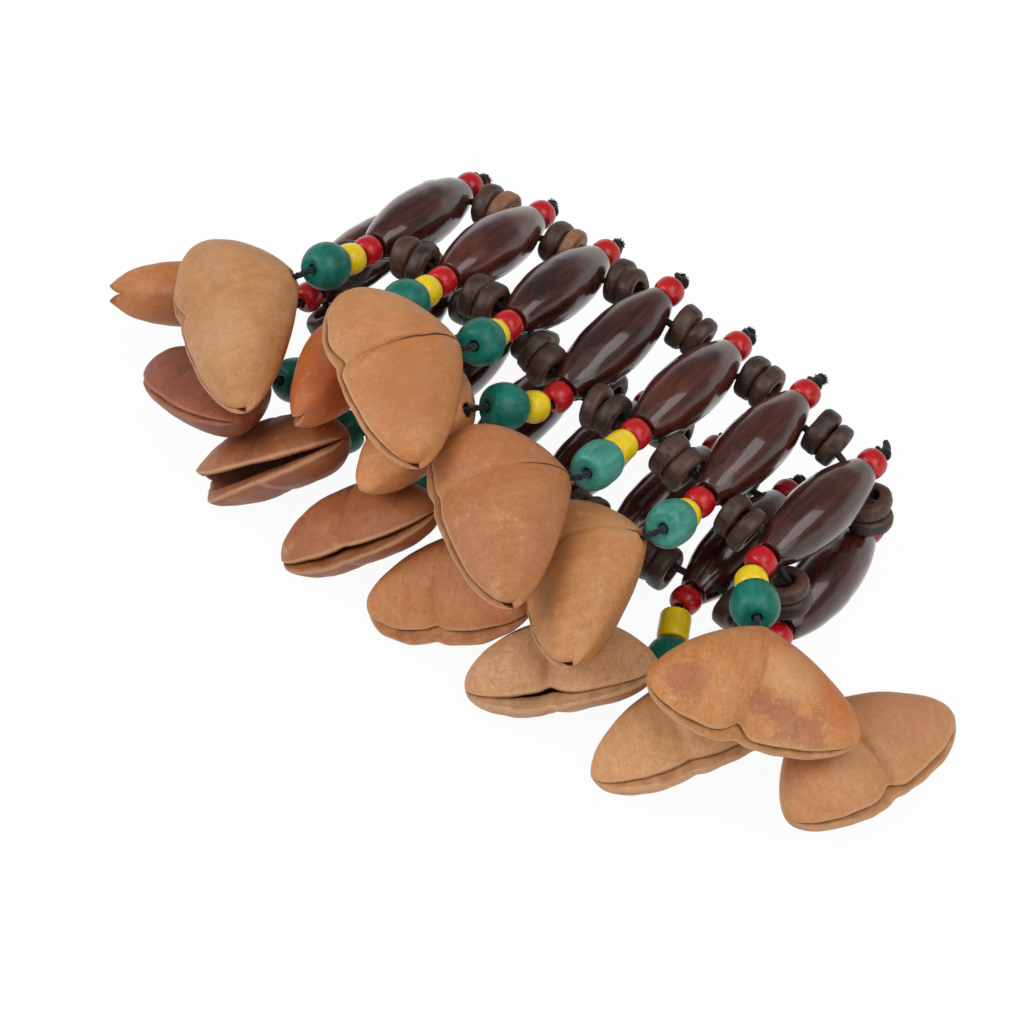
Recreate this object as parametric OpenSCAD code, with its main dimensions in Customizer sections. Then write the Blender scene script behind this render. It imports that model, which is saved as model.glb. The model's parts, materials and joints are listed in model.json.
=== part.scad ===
// Nutshell shaker bracelet: fifteen strands tied side by side into a closed elastic band.
// Each strand is a knotted cord through a red bead, a long wooden bead, three more small beads
// and a hollow nutshell.
// The band lies on its side, pressed flat: seven strands above, seven below and one on edge at the left end.
// X runs along the rows, +Y points to the knots and -Y to the nutshells.
// The origin is in the middle of the bracelet, on the surface that it lies on.

/* [Band] */
// Spacing of the upper strands along X
upper_pitch = 17.2; // [17:0.1:18]
// Height of the crest of the upper row, at the bead axes
crest_z = 34; // [34:0.5:38]
// Position of the crest along X
crest_x = -35; // [-36:1:-30]
// Drop of the upper row from the crest to its right-hand strand
crest_drop = 11.5; // [10:0.5:12]
// Spacing of the lower strands along X
lower_pitch = 18.2; // [18:0.1:18.4]
// Position of the right-hand lower strand along X
lower_x = 56; // [55:0.5:58]

/* [Long beads] */
// Length of a long wooden bead
long_l = 30; // [29.6:0.1:30.4]
// Largest diameter of a long bead
long_d = 12.4; // [12:0.1:12.6]
// Diameter of a long bead at its ends
long_end_d = 6; // [5.6:0.1:6.2]
// Bore along a long bead
long_bore_d = 3; // [2.8:0.1:3.2]
// Cross bore for the elastic cord
cross_bore_d = 2.2; // [2:0.1:2.4]
// Distance of a cross bore from the middle of the bead
cross_bore_y = 12.8; // [12.6:0.1:13]
// Offset of a cross bore from the bead's axis, so that the two cords pass each other
cross_offset = 1.7; // [1.6:0.05:1.75]

/* [Small beads] */
// Diameter of a red bead
red_d = 6; // [5.6:0.1:6.2]
// Length of a red bead
red_l = 4.6; // [4.2:0.1:4.8]
// Diameter of a yellow bead
yellow_d = 6.4; // [6:0.1:6.6]
// Diameter of a green bead
green_d = 9.4; // [9.2:0.1:9.8]
// Length of a green bead
green_l = 8.6; // [8.2:0.1:9]
// Bore of the small beads
bead_bore_d = 2.6; // [2.4:0.1:2.8]

/* [Coconut discs] */
// Outer diameter of a coconut disc
disc_d = 9.2; // [8.8:0.1:9.4]
// Bore of a coconut disc
disc_bore_d = 5.8; // [5.7:0.1:6]
// Thickness of a coconut disc
disc_t = 3; // [2.8:0.1:3.1]
// How far the loose discs hang outwards from the elastic cord
disc_hang = 1.5; // [1.3:0.1:1.6]

/* [Cords] */
// Diameter of the tie cord through a strand
tie_d = 1.3; // [1.1:0.1:1.4]
// Diameter of the knot inside a nutshell, wider than the hole that it holds
anchor_d = 3.9; // [3.8:0.1:4]
// Diameter of the elastic cord through the band
elastic_d = 1.4; // [1.2:0.1:1.5]

/* [Nutshells] */
// Width of a nutshell across its two lobes
shell_w = 40; // [38:0.5:41]
// Length of a nutshell from the cord hole to its mouth
shell_l = 26; // [25:0.5:27]
// Thickness of a nutshell
shell_t = 15; // [14:0.5:15.5]
// Wall of a nutshell
shell_wall = 1.4; // [1.2:0.1:1.6]
// Hole drilled for the cord
shell_hole_d = 3.4; // [3.2:0.1:3.6]

/* [Hidden] */
COUNT = 15;
UPPER = 7;
function two_digits(n) = n < 10 ? str("0", n) : str(n);
function numbered(word) = [for (i = [1:COUNT]) str(word, "_", two_digits(i))];

// How each strand lies, from strand 1 at the far left of the upper row round to strand 15.
// Angles are in degrees: yaw turns the shell end towards +X, pitch lifts the shell end.
// lobe_skew lengthens one lobe of the shell and shortens the other, as a share of half its width.
bead_shift = [1.5, 4, 3.5, 0, 1, -0.5, -3, -4.5, -8, -8, -7, -7, -6, -5, -4];
bead_yaw = [4, 4, 4, 0, 2, 1, -2, 4, 2, 0, 0, 0, 0, 0, 2];
bead_pitch = [14, 14, 13, -2, 8, 0, 4, 4, 2, 0, 0, 0, 0, 2, 6];
string_yaw = [-2, 6, 16, -24, 6, 8, 40, 56, 30, 18, -16, -34, -44, -12, -48];
string_pitch = [24, 20, 32, 26, 18, 30, 16, 6, -8, -4, 24, 2, -2, 32, 14];
shell_yaw = [-40, -32, -28, -72, -38, -46, 28, 76, 48, 28, 24, 22, 10, -24, -112];
shell_pitch = [-20, -46, 12, -34, 0, -28, 1, 8, 19, 18, -10, 16, 26, 16, -41];
shell_roll = [12, -38, 14, -2, 4, -6, 12, 0, -16, -18, -22, -34, -38, -24, -20];
shell_size = [1, 0.94, 1, 0.94, 1.02, 1, 1, 1, 0.98, 0.96, 0.92, 0.94, 0.92, 0.94, 0.9];
lobe_skew = [0.25, 0.05, 0.2, 0.05, 0.3, 0.25, 0.1, 0.05, 0.05, 0.05, 0.05, 0.05, 0.05, 0.05, 0.05];
mouth_gap = [0.9, 1.2, 0.8, 1, 0.7, 0.9, 0.9, 0.9, 1, 2.4, 1.4, 2, 6, 1, 1.6];
yellow_l = [4.8, 5, 4.4, 4.8, 6, 3.4, 4.8, 5, 6, 4.8, 5, 4.6, 5, 4.8, 5];

// Small clearances along a strand, and how far a disc follows the cord that it hangs on
bead_gap = 0.3;
disc_gap = 0.1;
disc_sag = 0.9;
// Knot at the end of a strand, and the slack of the cord from the hole to the knot in the shell
knot_d = 4.6;
anchor_depth = 6;
// Clearances where a cord bends, growing with the angle that it turns through
bend_room = 1.8;
apex_room = 1.6;
apex_slack = 1.4;
green_slack = 0.8;
tube_sides = 8;
// Middle of the band along Y, which centres the whole bracelet on the origin
band_y = 21.4;
colour_wood = "#3b1a14";
colour_shell = "#cf9a63";
colour_coconut = "#4a2c20";
colour_cord = "#16161a";

function unit(v) = v / norm(v);
function heading(yaw, pitch) = [sin(yaw) * cos(pitch), -cos(yaw) * cos(pitch), sin(pitch)];
function turn_angle(a, b) = acos(min(1, a * b));

// Where each strand sits: an arched upper row, a flat lower row and one strand on edge
upper_end_x = (UPPER - 1) / 2 * upper_pitch;
arch = crest_drop / pow(upper_end_x - crest_x, 2);
function upper_x(i) = (i - (UPPER - 1) / 2) * upper_pitch;
function upper_z(x) = crest_z - arch * pow(x - crest_x, 2);
lower_z = long_d / 2 + 0.1;
edge_xz = [-63, 20];
function strand_xz(i) =
    i < UPPER ? [upper_x(i), upper_z(upper_x(i))] :
    i < COUNT - 1 ? [lower_x - (i - UPPER) * lower_pitch, lower_z] : edge_xz;
function bead_centre(i) = [strand_xz(i)[0], band_y + bead_shift[i], strand_xz(i)[1]];

// Stations along a strand, from the knot to the nutshell
function axis(i) = heading(bead_yaw[i], bead_pitch[i]);
function string_dir(i) = heading(string_yaw[i], string_pitch[i]);
function shell_dir(i) = heading(shell_yaw[i], shell_pitch[i]);
red_y = long_l / 2 + bead_gap + red_l / 2;
function on_axis(i, y) = bead_centre(i) + y * axis(i);
function bend_gap(a, b) = bead_gap + bend_room * tan(turn_angle(a, b) / 2);
function first_bend(i) = on_axis(i, red_y + red_l / 2 + bend_gap(axis(i), string_dir(i)));
function yellow_centre(i) =
    first_bend(i) + (bend_gap(axis(i), string_dir(i)) + yellow_l[i] / 2) * string_dir(i);
function green_centre(i) =
    yellow_centre(i) + (yellow_l[i] / 2 + bead_gap + green_l / 2) * string_dir(i);
function second_bend(i) = green_centre(i) + (green_l / 2 + green_slack) * string_dir(i);
function apex_gap(i) = apex_slack + apex_room * tan(turn_angle(string_dir(i), shell_dir(i)) / 2);
function apex(i) = second_bend(i) + apex_gap(i) * shell_dir(i);
function pivot(i) = apex(i) + shell_wall / 2 * shell_dir(i);
function anchor(i) = pivot(i) + anchor_depth * shell_dir(i);
red_rim_r = 0.24 * red_d;
yellow_rim_r = 0.22 * yellow_d;
knot_y = red_y + red_l / 2 + knot_d / 2 - 0.2;

// The two rows of cross bores, side -1 for the knot row and 1 for the shell row
function axis_point(i, side) = on_axis(i, side * cross_bore_y);
function following(i) = (i + 1) % COUNT;
function before(i) = (i + COUNT - 1) % COUNT;
function cross_dir(i, side) = unit(axis_point(following(i), side) - axis_point(before(i), side));
function inward(i, side) = unit(cross(cross_dir(i, side), axis(i)));
function row_point(i, side) = axis_point(i, side) + cross_offset * inward(i, side);
cross_exit = 0.37 * long_d;
function cross_point(i, side, way) = row_point(i, side) + way * cross_exit * cross_dir(i, side);

// A tube swept along points, closed into a ring or capped at both ends
function run(p, a, b) = a == b ? [0, 0, 0] : unit(p[b] - p[a]);
function tangent(p, k, closed) = let (
    n = len(p),
    a = closed ? (k + n - 1) % n : max(k - 1, 0),
    b = closed ? (k + 1) % n : min(k + 1, n - 1)
) unit(run(p, a, k) + run(p, k, b));
function tube_ring(centre, along, r, ref) =
    let (u = unit(cross(along, ref)), v = cross(u, along), step = 360 / tube_sides)
    [for (s = [0:tube_sides - 1]) centre + r * (cos(s * step) * u + sin(s * step) * v)];
module tube(p, d, ref, closed = false) {
    n = len(p);
    points = [for (k = [0:n - 1]) each tube_ring(p[k], tangent(p, k, closed), d / 2, ref)];
    walls = [for (k = [0:closed ? n - 1 : n - 2], s = [0:tube_sides - 1])
        let (a = k * tube_sides, b = (k + 1) % n * tube_sides, t = (s + 1) % tube_sides)
        each [[a + s, b + t, b + s], [a + s, a + t, b + t]]];
    caps = closed ? [] : [
        [for (s = [tube_sides - 1:-1:0]) s],
        [for (s = [0:tube_sides - 1]) (n - 1) * tube_sides + s]
    ];
    polyhedron(points, concat(walls, caps));
}

// Places a child whose -Y axis runs towards the shell
module lay(p, yaw, pitch, roll = 0) {
    translate(p) rotate([0, 0, yaw]) rotate([-pitch, 0, 0]) rotate([0, roll, 0]) children();
}

// Places a child whose +Z axis runs along a direction
module aim(p, direction) {
    azimuth = atan2(direction[1], direction[0]);
    translate(p) rotate([0, acos(direction[2]), azimuth]) children();
}

// A slender bead along Y, with its bore: a long round side between two flat ends
module slender_bead(d, l, end_d, bore_d) {
    sagitta = (d - end_d) / 2;
    side_r = (l * l / 4 + sagitta * sagitta) / (2 * sagitta);
    rotate([90, 0, 0]) rotate_extrude($fn = 48) intersection() {
        translate([d / 2 - side_r, 0]) circle(side_r, $fn = 96);
        translate([bore_d / 2, -l / 2]) square([d, l]);
    }
}

// A small bead along Y, with its bore: a straight side between two round rims
module rim_bead(d, l, rim_r, bore_d) {
    rotate([90, 0, 0]) rotate_extrude($fn = 48) intersection() {
        union() {
            translate([0, -l / 2]) square([d / 2 - rim_r, l]);
            translate([0, rim_r - l / 2]) square([d / 2, l - 2 * rim_r]);
            for (end = [-1, 1])
                translate([d / 2 - rim_r, end * (l / 2 - rim_r)]) circle(rim_r, $fn = 48);
        }
        translate([bore_d / 2, -l / 2]) square([d, l]);
    }
}

// A ball along Y, with its bore and two flat ends
module ball_bead(d, l, bore_d) {
    difference() {
        intersection() {
            sphere(d = d, $fn = 64);
            cube([d, l, d], center = true);
        }
        rotate([90, 0, 0]) cylinder(h = 2 * l, d = bore_d, center = true, $fn = 32);
    }
}

// The wall of a nutshell across its width, as C-shaped sections that leave the mouth open.
// u runs from -1 at one lobe to 1 at the other, and s from 0 at the cord side to 1 at the mouth.
HALF_SECTIONS = [0.06, 0.2, 0.45, 0.68, 0.85, 0.94, 0.985];
SECTIONS = concat([for (k = [len(HALF_SECTIONS) - 1:-1:0]) -HALF_SECTIONS[k]], [0], HALF_SECTIONS);
STEPS = [1, 0.93, 0.72, 0.42, 0.15, 0.03, 0];
lobe_y = 0.64 * shell_l;
notch_depth = 1.3;
crease_depth = 0.35;
// Power and root of the curve of the cord side, at the plump lobe and at the slim one
plump_curve = [1.4, 0.67];
slim_curve = [1.25, 0.72];
function near_seam(u) = exp(-pow(u / 0.09, 2));
function back_edge(u) = let (curve = u > 0 ? plump_curve : slim_curve)
    lobe_y * (1 - pow(1 - pow(abs(u), curve[0]), curve[1]));
function mouth_rim(u) = lobe_y + (shell_l - lobe_y) * pow(1 - pow(abs(u), 2.4), 0.53);
function mouth_edge(u) = mouth_rim(u) - notch_depth * near_seam(u);
function half_thickness(u) = shell_t / 2 * pow(1 - pow(abs(u), 2.4), 0.6) - crease_depth * near_seam(u);
function bulge(s) = pow(sin(180 * pow(s, 0.8)), 0.72);
function lip(u, gap) = gap / 2 * pow(max(0, 1 - pow(u, 4)), 0.5) + 0.15;
function outer_t(u, s, gap) = (lip(u, gap) + 0.6 * half_wall(u)) * s * s + half_thickness(u) * bulge(s);
function inner_t(u, s, gap) = lip(u, gap) * s * s + (half_thickness(u) - half_wall(u)) * bulge(s);
function half_wall(u) = min(shell_wall, 0.45 * half_thickness(u));
function end_wall(u) = min(shell_wall, 0.25 * (mouth_rim(u) - back_edge(u)));
function across(u, skew) = shell_w / 2 * (u + skew * u * u);
function section(u, gap, skew) = let (
    steps = len(STEPS) - 1,
    run = mouth_edge(u) - back_edge(u),
    thin = end_wall(u),
    outer = [for (k = [-steps:steps]) let (s = STEPS[steps - abs(k)])
        [across(u, skew), -(back_edge(u) + run * s), -sign(k) * outer_t(u, s, gap)]],
    inner = [for (k = [steps:-1:-steps]) let (s = STEPS[steps - abs(k)])
        [across(u, skew), -(back_edge(u) + thin + (run - thin) * s), -sign(k) * inner_t(u, s, gap)]]
) concat(outer, inner);
module shell_wall_solid(gap, skew) {
    n = 4 * len(STEPS) - 2;
    half = n / 2;
    rings = len(SECTIONS);
    points = [for (u = SECTIONS) each section(u, gap, skew)];
    walls = [for (k = [0:rings - 2], j = [0:n - 1])
        let (a = k * n, b = (k + 1) * n, m = (j + 1) % n)
        each [[a + j, b + m, b + j], [a + j, a + m, b + m]]];
    caps = [for (end = [0, 1], j = [0:half - 2])
        let (o = end * (rings - 1) * n, q = [o + j, o + j + 1, o + n - 2 - j, o + n - 1 - j])
        each end == 1
            ? [[q[0], q[1], q[2]], [q[0], q[2], q[3]]]
            : [[q[2], q[1], q[0]], [q[3], q[2], q[0]]]];
    polyhedron(points, concat(walls, caps));
}

module nutshell(i) {
    color(colour_shell) lay(apex(i), shell_yaw[i], shell_pitch[i], shell_roll[i]) difference() {
        scale(shell_size[i]) shell_wall_solid(mouth_gap[i], lobe_skew[i]);
        rotate([90, 0, 0]) cylinder(h = 4 * shell_wall, d = shell_hole_d, center = true, $fn = 32);
    }
}

module long_bead(i) {
    color(colour_wood) difference() {
        lay(bead_centre(i), bead_yaw[i], bead_pitch[i])
            slender_bead(long_d, long_l, long_end_d, long_bore_d);
        for (side = [-1, 1])
            aim(row_point(i, side), cross_dir(i, side))
                cylinder(h = 2 * long_d, d = cross_bore_d, center = true, $fn = 32);
    }
}

// The tie cord runs from its frayed knot through the strand to the knot inside the nutshell
module tie_cord(i) {
    color(colour_cord) union() {
        tube([
            on_axis(i, -knot_y), on_axis(i, 0), first_bend(i), second_bend(i), pivot(i), anchor(i)
        ], tie_d, [0, 0, 1]);
        translate(on_axis(i, -knot_y)) sphere(d = knot_d, $fn = 32);
        translate(anchor(i)) sphere(d = anchor_d, $fn = 32);
    }
}

module red_beads_knot_end() {
    color("#d3141b") for (i = [0:COUNT - 1])
        lay(on_axis(i, -red_y), bead_yaw[i], bead_pitch[i])
            rim_bead(red_d, red_l, red_rim_r, bead_bore_d);
}

module red_beads_shell_end() {
    color("#d3141b") for (i = [0:COUNT - 1])
        lay(on_axis(i, red_y), bead_yaw[i], bead_pitch[i])
            rim_bead(red_d, red_l, red_rim_r, bead_bore_d);
}

module yellow_beads() {
    color("#f2d41c") for (i = [0:COUNT - 1])
        lay(yellow_centre(i), string_yaw[i], string_pitch[i])
            rim_bead(yellow_d, yellow_l[i], yellow_rim_r, bead_bore_d);
}

module green_beads() {
    color("#0f6e58") for (i = [0:COUNT - 1])
        lay(green_centre(i), string_yaw[i], string_pitch[i])
            ball_bead(green_d, green_l, bead_bore_d);
}

// Two loose discs fill each gap between neighbouring strands, square to the beads beside them.
// They hang between the line of the bead axes and the elastic cord that holds them.
module coconut_discs(side) {
    color(colour_coconut) for (i = [0:COUNT - 1]) {
        chord = axis_point(following(i), side) - axis_point(i, side);
        middle = (axis_point(following(i), side) + axis_point(i, side)) / 2;
        cord_middle = (cross_point(i, side, 1) + cross_point(following(i), side, -1)) / 2;
        along_beads = unit(axis(i) + axis(following(i)));
        square_dir = unit(chord - (chord * along_beads) * along_beads);
        hung = middle + disc_sag * (cord_middle - middle) + side * disc_hang * along_beads;
        for (k = [-1, 1])
            aim(hung + k * (disc_t / 2 + disc_gap) * unit(chord), square_dir) difference() {
                cylinder(h = disc_t, d = disc_d, center = true, $fn = 48);
                cylinder(h = 2 * disc_t, d = disc_bore_d, center = true, $fn = 32);
            }
    }
}

module elastic_cord(side) {
    loop = [for (i = [0:COUNT - 1]) each [cross_point(i, side, -1), cross_point(i, side, 1)]];
    color(colour_cord) tube(loop, elastic_d, [0, 1, 0], closed = true);
}

for (i = [0:COUNT - 1]) {
    long_bead(i);
    nutshell(i);
    tie_cord(i);
}
red_beads_knot_end();
red_beads_shell_end();
yellow_beads();
green_beads();
coconut_discs(-1);  // coconut_discs_knot_row
coconut_discs(1);  // coconut_discs_shell_row
elastic_cord(-1);  // elastic_cord_knot_row
elastic_cord(1);  // elastic_cord_shell_row
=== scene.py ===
import json
import math
import random

import bmesh
import bpy
import numpy as np
from mathutils import Euler, Matrix, Vector, noise


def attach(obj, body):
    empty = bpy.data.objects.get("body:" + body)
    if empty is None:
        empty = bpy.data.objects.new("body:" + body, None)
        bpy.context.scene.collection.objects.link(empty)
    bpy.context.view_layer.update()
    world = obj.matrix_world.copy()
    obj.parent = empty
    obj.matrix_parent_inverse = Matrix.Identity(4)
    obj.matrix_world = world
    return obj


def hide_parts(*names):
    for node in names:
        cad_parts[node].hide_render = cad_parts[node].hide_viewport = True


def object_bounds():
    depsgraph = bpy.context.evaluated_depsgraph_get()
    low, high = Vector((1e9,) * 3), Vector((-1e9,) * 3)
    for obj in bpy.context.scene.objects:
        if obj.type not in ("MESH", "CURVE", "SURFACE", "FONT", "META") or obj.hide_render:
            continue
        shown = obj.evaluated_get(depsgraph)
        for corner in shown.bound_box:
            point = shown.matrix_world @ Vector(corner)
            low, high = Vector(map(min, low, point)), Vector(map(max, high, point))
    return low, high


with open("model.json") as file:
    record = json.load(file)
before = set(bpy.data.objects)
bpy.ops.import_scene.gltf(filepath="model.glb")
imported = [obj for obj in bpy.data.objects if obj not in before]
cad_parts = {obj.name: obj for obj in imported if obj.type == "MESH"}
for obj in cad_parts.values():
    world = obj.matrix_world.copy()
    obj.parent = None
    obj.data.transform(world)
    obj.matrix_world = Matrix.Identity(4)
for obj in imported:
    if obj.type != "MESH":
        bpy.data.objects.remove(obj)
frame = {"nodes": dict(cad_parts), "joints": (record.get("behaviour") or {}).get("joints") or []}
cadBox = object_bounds()
mm = 0.001
strandCount = 15
stopReach = (4.0, 8.0)
print("frame loaded:", len(frame["nodes"]), "nodes")


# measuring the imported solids

def nodePoints(nodeName):
    mesh = frame["nodes"][nodeName].data
    flat = np.zeros(len(mesh.vertices) * 3, np.float32)
    mesh.vertices.foreach_get("co", flat)
    return np.unique(np.round(flat.reshape(-1, 3).astype(float), 7), axis=0)


def solidsOf(nodeName):  # the corner points of each separate solid in a node
    bm = bmesh.new()
    bm.from_mesh(frame["nodes"][nodeName].data)
    bmesh.ops.remove_doubles(bm, verts=bm.verts, dist=1e-6)
    bm.verts.index_update()
    seen = [False] * len(bm.verts)
    solids = []
    for start in bm.verts:
        if seen[start.index]:
            continue
        seen[start.index] = True
        queue, found = [start], []
        while queue:
            corner = queue.pop()
            found.append(corner.co[:])
            for edge in corner.link_edges:
                other = edge.other_vert(corner)
                if not seen[other.index]:
                    seen[other.index] = True
                    queue.append(other)
        solids.append(np.array(sorted(found)))
    bm.free()
    return solids


def boxMiddle(points):
    return Vector((points.min(0) + points.max(0)) / 2)


def thinAxis(points):  # direction in which a set of points is thinnest
    return Vector(np.linalg.eigh(np.cov((points - points.mean(0)).T))[1][:, 0])


def nearest(place, spots):
    return min(spots, key=lambda spot: (spot - place).length)


def meetingPoint(a, aDir, b, bDir):  # where two lines come closest
    n = aDir.cross(bDir)
    if n.length < 1e-6:
        return (a + b) / 2
    return a + aDir * ((b - a).cross(bDir).dot(n) / n.length_squared)


def measureStrands():
    spots = {}
    for word in ("red_beads_knot_end", "red_beads_shell_end", "yellow_beads", "green_beads"):
        spots[word] = [boxMiddle(solid) for solid in solidsOf(word)]
    pivots = {joint["child"]: Vector(joint["pos_m"]) for joint in frame["joints"]}
    strands = []
    for number in range(1, strandCount + 1):
        tag = f"{number:02d}"
        bead = boxMiddle(nodePoints(f"long_bead_{tag}"))
        strand = {"number": number, "tag": tag, "pivot": pivots[f"shell_{tag}"]}
        strand["knotRed"] = nearest(bead, spots["red_beads_knot_end"])
        strand["shellRed"] = nearest(bead, spots["red_beads_shell_end"])
        strand["yellow"] = nearest(strand["shellRed"], spots["yellow_beads"])
        strand["green"] = nearest(strand["yellow"], spots["green_beads"])
        strand["middle"] = (strand["knotRed"] + strand["shellRed"]) / 2
        strand["axis"] = (strand["shellRed"] - strand["knotRed"]).normalized()
        strand["string"] = (strand["green"] - strand["yellow"]).normalized()
        measureShell(strand)
        strands.append(strand)
    return strands


def measureShell(strand):  # the nutshell's own axes and size
    points = nodePoints(f"nutshell_{strand['tag']}")
    up = thinAxis(points)
    up = up if up.z > 0 else -up
    cord = nodePoints(f"tie_cord_{strand['tag']}") - np.array(strand["pivot"])
    away = np.linalg.norm(cord, axis=1)
    near, far = (reach * mm for reach in stopReach)  # towards the stop knot in the shell
    toMouth = Vector(cord[(away > near) & (away < far)].mean(0))
    toMouth = (toMouth - up * toMouth.dot(up)).normalized()
    across = toMouth.cross(up)
    place = points - np.array(strand["pivot"])
    alongs, acrosses, ups = (place @ np.array(direction) for direction in (toMouth, across, up))
    strand["toMouth"], strand["across"], strand["up"] = toMouth, across, up
    strand["shellSize"] = (np.ptp(acrosses), np.ptp(alongs), np.ptp(ups))
    strand["apex"] = strand["pivot"] + toMouth * alongs.min()


strands = measureStrands()
print("strands measured:", len(strands))


# making pieces

def startMesh(*layers):
    bm = bmesh.new()
    place = bm.verts.layers.float_vector.new("place")
    extra = [bm.verts.layers.float.new(layer) for layer in layers]
    return bm, place, *extra


def finishPiece(name, bm, material, body, slotName, *nodes):
    mesh = bpy.data.meshes.new(name)
    bm.to_mesh(mesh)
    bm.free()
    finishMesh(name, mesh, material, body, slotName, *nodes)


def finishMesh(name, mesh, material, body, slotName, *nodes):
    mesh.materials.append(material)
    mesh.polygons.foreach_set("use_smooth", [True] * len(mesh.polygons))
    piece = bpy.data.objects.new(name, mesh)
    bpy.context.scene.collection.objects.link(piece)
    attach(piece, body)
    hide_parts(*nodes)


def standing(place, axis):  # a matrix that lays local Y along an axis
    turn = Vector((0, 1, 0)).rotation_difference(axis)
    return Matrix.Translation(place) @ turn.to_matrix().to_4x4()


def spinOutline(bm, outline, steps):  # turns a closed (radius, height) outline about Y
    before = len(bm.verts)
    corners = [bm.verts.new((radius, height, 0)) for radius, height in outline]
    edges = [bm.edges.new(pair) for pair in zip(corners, corners[1:] + corners[:1])]
    bmesh.ops.spin(bm, geom=corners + edges, cent=(0, 0, 0), axis=(0, 1, 0),
                   angle=2 * math.pi, steps=steps, use_merge=True)
    bm.verts.ensure_lookup_table()
    fresh = bm.verts[before:]
    bmesh.ops.remove_doubles(bm, verts=fresh, dist=1e-7)
    bm.verts.ensure_lookup_table()
    fresh = bm.verts[before:]
    faces = list(dict.fromkeys(face for corner in fresh for face in corner.link_faces))
    bmesh.ops.recalc_face_normals(bm, faces=faces)
    return fresh


def beadOutline(shape):  # a rounded side between two small flat ends, with the bore inside
    half, side, end, bore = (shape[key] * mm for key in ("half", "side", "end", "bore"))
    points, (rise, fall) = shape["points"], shape["curve"]
    lip = 0.35 * (end - bore)
    outline = [(bore, -half + lip), (bore + 0.3 * lip, -half + 0.3 * lip), (bore + lip, -half)]
    for step in range(-points, points + 1):
        turn = math.sin(step / points * math.pi / 2)
        radius = end + (side - end) * max(0.0, 1 - abs(turn) ** rise) ** (1 / fall)
        outline.append((radius, turn * half))
    return outline + [(radius, -height) for radius, height in reversed(outline[:3])]


roughScales = (260, 1100)


def roughen(corners, seed, heights):  # small hand-made unevenness
    offset = Vector((seed * 7.3, seed * 3.1, seed * 5.7))
    for corner in corners:
        wave = sum(noise.noise(corner.co * scale + offset) * height
                   for scale, height in zip(roughScales, heights))
        corner.co += corner.co.normalized() * wave * mm


# shader wiring

class Wire:
    def __init__(self, tree, socket=None):
        self.tree = tree
        self.socket = socket

    def node(self, kind, settings=None, sockets=None, out=0):
        made = self.tree.nodes.new(kind)
        for key, value in (settings or {}).items():
            setattr(made, key, value)
        for key, value in (sockets or {}).items():
            if isinstance(value, Wire):
                self.tree.links.new(value.socket, made.inputs[key])
            elif value is not None:
                made.inputs[key].default_value = value
        return Wire(self.tree, made.outputs[out])

    def math(self, operation, first, second=None, clamp=False):
        settings = {"operation": operation, "use_clamp": clamp}
        return self.node("ShaderNodeMath", settings, {0: first, 1: second})

    def __add__(self, other):
        return self.math("ADD", self, other)

    def __sub__(self, other):
        return self.math("SUBTRACT", self, other)

    def __rsub__(self, other):
        return self.math("SUBTRACT", other, self)

    def __mul__(self, other):
        return self.math("MULTIPLY", self, other)

    __radd__ = __add__
    __rmul__ = __mul__

    def squared(self):
        return self.math("MULTIPLY", self, self)

    def size(self):
        return self.math("ABSOLUTE", self)

    def ramp(self, low, high):  # 0 below low, 1 above high, smooth between
        sockets = {"Value": self, "From Min": low, "From Max": high}
        return self.node("ShaderNodeMapRange", {"interpolation_type": "SMOOTHSTEP"}, sockets)

    def split(self):
        parts = self.node("ShaderNodeSeparateXYZ", None, {0: self})
        outputs = parts.socket.node.outputs
        return [Wire(self.tree, output) for output in outputs]

    def stretched(self, scale):
        return self.node("ShaderNodeVectorMath", {"operation": "MULTIPLY"}, {0: self, 1: scale})

    def noise(self, scale, detail=3.0, seed=0.0, rough=0.5):
        sockets = {"Vector": self, "Scale": scale, "Detail": detail, "Roughness": rough, "W": seed}
        return self.node("ShaderNodeTexNoise", {"noise_dimensions": "4D"}, sockets)

    def blend(self, low, high):  # this value mixes two colours
        sockets = {0: self, 6: asColour(low), 7: asColour(high)}
        return self.node("ShaderNodeMix", {"data_type": "RGBA"}, sockets, out=2)

    def times(self, other):  # one colour multiplied by another
        sockets = {0: 1.0, 6: self, 7: other}
        return self.node("ShaderNodeMix", {"data_type": "RGBA", "blend_type": "MULTIPLY"}, sockets, out=2)

    def bump(self, strength, distance):
        return self.node("ShaderNodeBump", None, {"Height": self, "Strength": strength, "Distance": distance})


def asColour(value):
    return value if isinstance(value, Wire) else (*value, 1.0)


def newFinish(name):
    material = bpy.data.materials.new(name)
    material.use_nodes = True
    tree = material.node_tree
    return material, Wire(tree), tree.nodes["Principled BSDF"]


def attribute(wire, name, out=1):  # out 1 is the vector, 2 the value
    return wire.node("ShaderNodeAttribute", {"attribute_name": name}, None, out)


def plug(shader, **sockets):
    for key, value in sockets.items():
        socket = shader.inputs[key.replace("_", " ")]
        if isinstance(value, Wire):
            value.tree.links.new(value.socket, socket)
        else:
            socket.default_value = value


# camera, floor and light

cameraSet = {
    "side": (39.4, 50.0), "target": (2.9, -13.7, 15.3), "distance": 500.0, "lens": 90.7, "sensor": 36.0,
    "clip": 10.0,
}


def aimAt(thing, place, target):
    thing.location = place
    thing.rotation_euler = (target - place).to_track_quat("-Z", "Y").to_euler()


def viewSide(azimuth, elevation):
    a, e = math.radians(azimuth), math.radians(elevation)
    return Vector((math.sin(a) * math.cos(e), -math.cos(a) * math.cos(e), math.sin(e)))


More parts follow.
